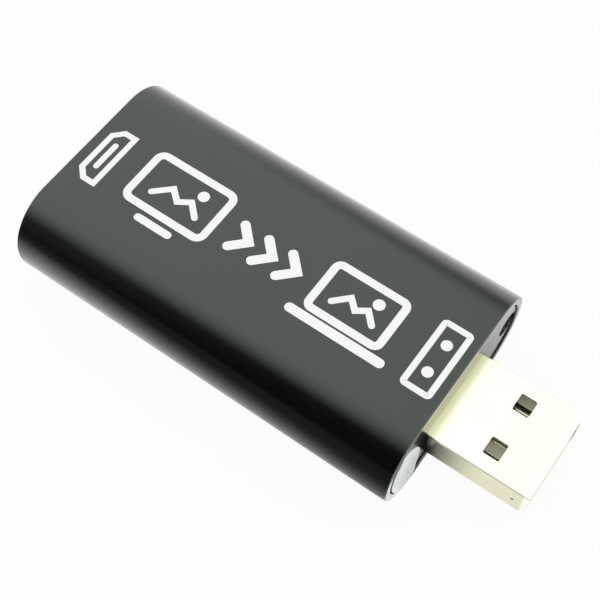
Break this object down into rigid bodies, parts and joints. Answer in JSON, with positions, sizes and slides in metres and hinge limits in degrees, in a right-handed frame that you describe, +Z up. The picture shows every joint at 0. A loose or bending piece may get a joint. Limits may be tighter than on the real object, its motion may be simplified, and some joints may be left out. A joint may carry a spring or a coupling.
{
  "type": "video capture dongle",
  "caption": "Slim video capture dongle: an extruded aluminium sleeve round a circuit board, with a video socket at the input end and a computer plug at the output end.",
  "frame": {"origin": "middle of the flat underside of the housing sleeve", "axes": "+X from the video socket towards the computer plug, +Y across the width, +Z up through the flat top"},
  "size_m": [0.064, 0.028, 0.013],
  "materials": {
    "anodised_aluminium": "black anodised, fine bead-blasted satin",
    "end_plate_black": "glossy black",
    "screw_black": "black zinc plated",
    "plug_nickel": "nickel plated sheet, slightly warm",
    "socket_nickel": "nickel plated sheet",
    "plug_insulator_plastic": "moulded, satin",
    "socket_insulator_plastic": "moulded black, matt",
    "contact_gold": "gold plated",
    "board_laminate": "green solder mask",
    "chip_epoxy": "moulded epoxy",
    "lead_tin": "tin plated",
    "crystal_ceramic": "fired ceramic",
    "ferrite": "sintered",
    "winding_copper": "enamelled copper",
    "capacitor_ceramic": "fired ceramic",
    "resistor_film": "glazed",
    "solder": "bright solder",
    "white_ink": "screen printed on the sleeve's top",
    "white_sticker": "plain vinyl, satin"
  },
  "bodies": {
    "root": {"housing_sleeve": "anodised_aluminium", "output_end_plate": "end_plate_black", "input_end_plate": "end_plate_black", "output_plate_screws": "screw_black", "input_plate_screws": "screw_black", "circuit_board": "board_laminate", "plug_shell": "plug_nickel", "plug_insulator": "plug_insulator_plastic", "plug_contacts": "contact_gold", "socket_shell": "socket_nickel", "socket_insulator": "socket_insulator_plastic", "socket_contacts_upper": "contact_gold", "socket_contacts_lower": "contact_gold", "capture_chip": "chip_epoxy", "capture_chip_pads": "lead_tin", "memory_chip": "chip_epoxy", "memory_chip_leads": "lead_tin", "voltage_regulator": "chip_epoxy", "voltage_regulator_leads": "lead_tin", "protection_arrays": "chip_epoxy", "protection_array_leads": "lead_tin", "crystal_base": "crystal_ceramic", "crystal_can": "lead_tin", "inductor_bobbin": "ferrite", "inductor_winding": "winding_copper", "ceramic_capacitors": "capacitor_ceramic", "resistors": "resistor_film", "solder_joints": "solder"}
  },
  "joints": []
}
